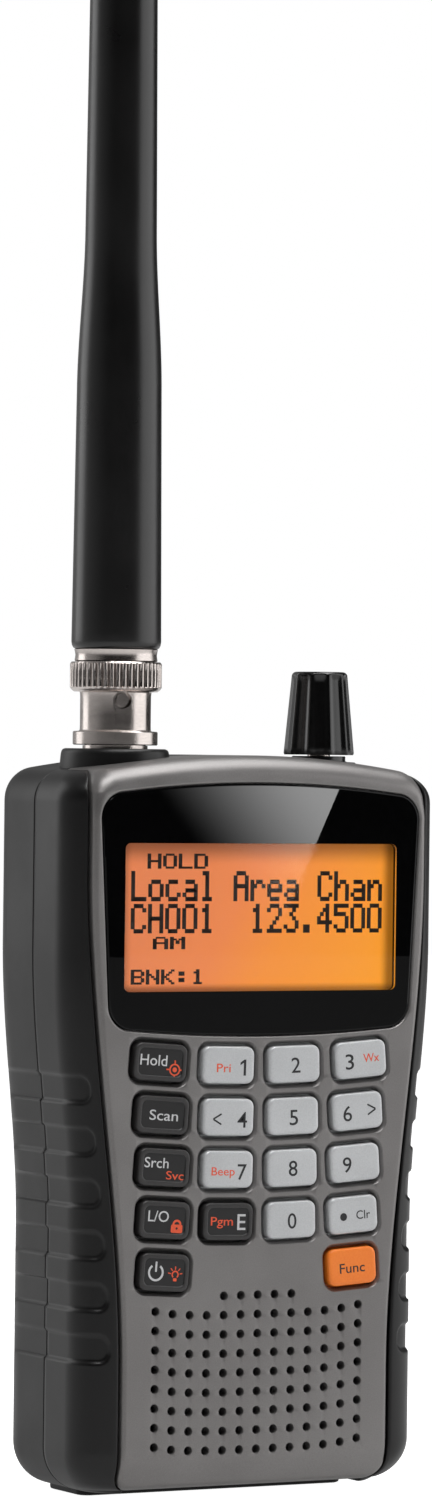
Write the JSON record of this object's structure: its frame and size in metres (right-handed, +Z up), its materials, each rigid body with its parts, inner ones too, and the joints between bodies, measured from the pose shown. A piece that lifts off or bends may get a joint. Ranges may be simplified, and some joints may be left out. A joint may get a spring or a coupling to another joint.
{
  "type": "handheld radio scanner",
  "caption": "Handheld scanning receiver with amber display, keypad, speaker grille, twin top controls, bayonet rubber antenna and a sliding battery door.",
  "frame": {"origin": "middle of the underside of the foot pad's front part, in the case's middle planes, where it stands", "axes": "+X to the right of a person facing the display, -Y out of the display face, +Z up along the antenna"},
  "size_m": [0.066, 0.0309, 0.2821],
  "materials": {
    "gunmetal_paint": "metallic grey paint on moulded plastic, satin",
    "soft_black": "soft-touch black elastomer, satin",
    "black_shell": "fine-grained black moulded plastic",
    "window_gloss": "glossy black printed acrylic with a clear display area",
    "lcd_amber": "amber backlit liquid crystal display",
    "light_guide": "translucent moulded plastic",
    "silicone": "moulded silicone rubber",
    "board_green": "solder-masked glass epoxy board",
    "tin_plate": "tin-plated steel sheet",
    "flex_copper": "polyimide flexible circuit",
    "speaker_black": "woven dust cloth and paper cone",
    "ferrite": "ground ferrite",
    "knob_black": "polished black moulded plastic",
    "pot_body": "moulded potentiometer body",
    "nickel": "bright nickel-plated brass",
    "white_dielectric": "white insulating plastic",
    "contact_gold": "gold-plated contact",
    "antenna_rubber": "smooth satin black rubber",
    "screw_steel": "black-zinc steel",
    "cell_wrap": "printed cell wrapper, plain",
    "key_dark": "dark key cap with a grey raised rim",
    "key_grey": "light grey satin key cap",
    "key_orange": "orange satin key cap"
  },
  "bodies": {
    "case": {"front_cover": "gunmetal_paint", "rail_left": "soft_black", "rail_right": "soft_black", "rear_cover": "black_shell", "foot_pad": "soft_black", "display_window": "window_gloss", "lcd_panel": "lcd_amber", "lcd_frame": "black_shell", "lcd_backlight": "light_guide", "keypad_mat": "silicone", "keypad_board": "board_green", "main_board": "board_green", "rf_shield": "tin_plate", "lcd_flex": "flex_copper", "speaker_mesh": "speaker_black", "speaker_cone": "speaker_black", "speaker_frame": "tin_plate", "speaker_magnet": "ferrite", "control_pot": "pot_body", "antenna_boss": "black_shell", "jack_barrel": "nickel", "jack_insulator": "white_dielectric", "jack_nut": "nickel", "earphone_socket": "black_shell", "usb_socket": "tin_plate", "case_screws": "screw_steel", "battery_tray": "black_shell", "cell_left": "cell_wrap", "cell_right": "cell_wrap", "cell_springs": "nickel", "cell_contacts": "nickel"},
    "volume": {"volume_knob": "knob_black", "volume_shaft": "nickel"},
    "squelch": {"squelch_ring": "knob_black"},
    "antenna": {"antenna_plug": "nickel", "antenna_pin": "contact_gold", "antenna_core": "light_guide", "antenna_sheath": "antenna_rubber"},
    "coupling": {"coupling_sleeve": "nickel"},
    "door": {"battery_door": "black_shell"},
    "button_hold": {"key_hold": "key_dark"},
    "button_1": {"key_1": "key_grey"},
    "button_2": {"key_2": "key_grey"},
    "button_3": {"key_3": "key_grey"},
    "button_scan": {"key_scan": "key_dark"},
    "button_4": {"key_4": "key_grey"},
    "button_5": {"key_5": "key_grey"},
    "button_6": {"key_6": "key_grey"},
    "button_search": {"key_search": "key_dark"},
    "button_7": {"key_7": "key_grey"},
    "button_8": {"key_8": "key_grey"},
    "button_9": {"key_9": "key_grey"},
    "button_lockout": {"key_lockout": "key_dark"},
    "button_enter": {"key_enter": "key_dark"},
    "button_0": {"key_0": "key_grey"},
    "button_clear": {"key_clear": "key_grey"},
    "button_power": {"key_power": "key_dark"},
    "button_function": {"key_function": "key_orange"}
  },
  "joints": [
    {"name": "press_hold", "type": "slide", "parent": "case", "child": "button_hold", "axis": [0, 1, 0], "range_m": [0, 0.0006], "stiffness_N_per_m": 400, "springref_m": -0.0005},
    {"name": "press_1", "type": "slide", "parent": "case", "child": "button_1", "axis": [0, 1, 0], "range_m": [0, 0.0006], "stiffness_N_per_m": 400, "springref_m": -0.0005},
    {"name": "press_2", "type": "slide", "parent": "case", "child": "button_2", "axis": [0, 1, 0], "range_m": [0, 0.0006], "stiffness_N_per_m": 400, "springref_m": -0.0005},
    {"name": "press_3", "type": "slide", "parent": "case", "child": "button_3", "axis": [0, 1, 0], "range_m": [0, 0.0006], "stiffness_N_per_m": 400, "springref_m": -0.0005},
    {"name": "press_scan", "type": "slide", "parent": "case", "child": "button_scan", "axis": [0, 1, 0], "range_m": [0, 0.0006], "stiffness_N_per_m": 400, "springref_m": -0.0005},
    {"name": "press_4", "type": "slide", "parent": "case", "child": "button_4", "axis": [0, 1, 0], "range_m": [0, 0.0006], "stiffness_N_per_m": 400, "springref_m": -0.0005},
    {"name": "press_5", "type": "slide", "parent": "case", "child": "button_5", "axis": [0, 1, 0], "range_m": [0, 0.0006], "stiffness_N_per_m": 400, "springref_m": -0.0005},
    {"name": "press_6", "type": "slide", "parent": "case", "child": "button_6", "axis": [0, 1, 0], "range_m": [0, 0.0006], "stiffness_N_per_m": 400, "springref_m": -0.0005},
    {"name": "press_search", "type": "slide", "parent": "case", "child": "button_search", "axis": [0, 1, 0], "range_m": [0, 0.0006], "stiffness_N_per_m": 400, "springref_m": -0.0005},
    {"name": "press_7", "type": "slide", "parent": "case", "child": "button_7", "axis": [0, 1, 0], "range_m": [0, 0.0006], "stiffness_N_per_m": 400, "springref_m": -0.0005},
    {"name": "press_8", "type": "slide", "parent": "case", "child": "button_8", "axis": [0, 1, 0], "range_m": [0, 0.0006], "stiffness_N_per_m": 400, "springref_m": -0.0005},
    {"name": "press_9", "type": "slide", "parent": "case", "child": "button_9", "axis": [0, 1, 0], "range_m": [0, 0.0006], "stiffness_N_per_m": 400, "springref_m": -0.0005},
    {"name": "press_lockout", "type": "slide", "parent": "case", "child": "button_lockout", "axis": [0, 1, 0], "range_m": [0, 0.0006], "stiffness_N_per_m": 400, "springref_m": -0.0005},
    {"name": "press_enter", "type": "slide", "parent": "case", "child": "button_enter", "axis": [0, 1, 0], "range_m": [0, 0.0006], "stiffness_N_per_m": 400, "springref_m": -0.0005},
    {"name": "press_0", "type": "slide", "parent": "case", "child": "button_0", "axis": [0, 1, 0], "range_m": [0, 0.0006], "stiffness_N_per_m": 400, "springref_m": -0.0005},
    {"name": "press_clear", "type": "slide", "parent": "case", "child": "button_clear", "axis": [0, 1, 0], "range_m": [0, 0.0006], "stiffness_N_per_m": 400, "springref_m": -0.0005},
    {"name": "press_power", "type": "slide", "parent": "case", "child": "button_power", "axis": [0, 1, 0], "range_m": [0, 0.0006], "stiffness_N_per_m": 400, "springref_m": -0.0005},
    {"name": "press_function", "type": "slide", "parent": "case", "child": "button_function", "axis": [0, 1, 0], "range_m": [0, 0.0006], "stiffness_N_per_m": 400, "springref_m": -0.0005},
    {"name": "volume_turn", "type": "hinge", "parent": "case", "child": "volume", "pos_m": [0.0183, 0, 0.118], "axis": [0, 0, -1], "range_deg": [0, 300]},
    {"name": "squelch_turn", "type": "hinge", "parent": "case", "child": "squelch", "pos_m": [0.0183, 0, 0.115], "axis": [0, 0, -1], "range_deg": [0, 300]},
    {"name": "antenna_lift", "type": "slide", "parent": "case", "child": "antenna", "axis": [0, 0, 1], "range_m": [0, 0.0022]},
    {"name": "bayonet_turn", "type": "hinge", "parent": "antenna", "child": "coupling", "pos_m": [-0.0183, 0, 0.124], "axis": [0, 0, 1], "range_deg": [0, 85]},
    {"name": "door_slide", "type": "slide", "parent": "case", "child": "door", "axis": [0, 0, -1], "range_m": [0, 0.004]}
  ],
  "couplings": [
    {"joint": "antenna_lift", "follows": "bayonet_turn", "m_per_rad": 0.00148}
  ]
}
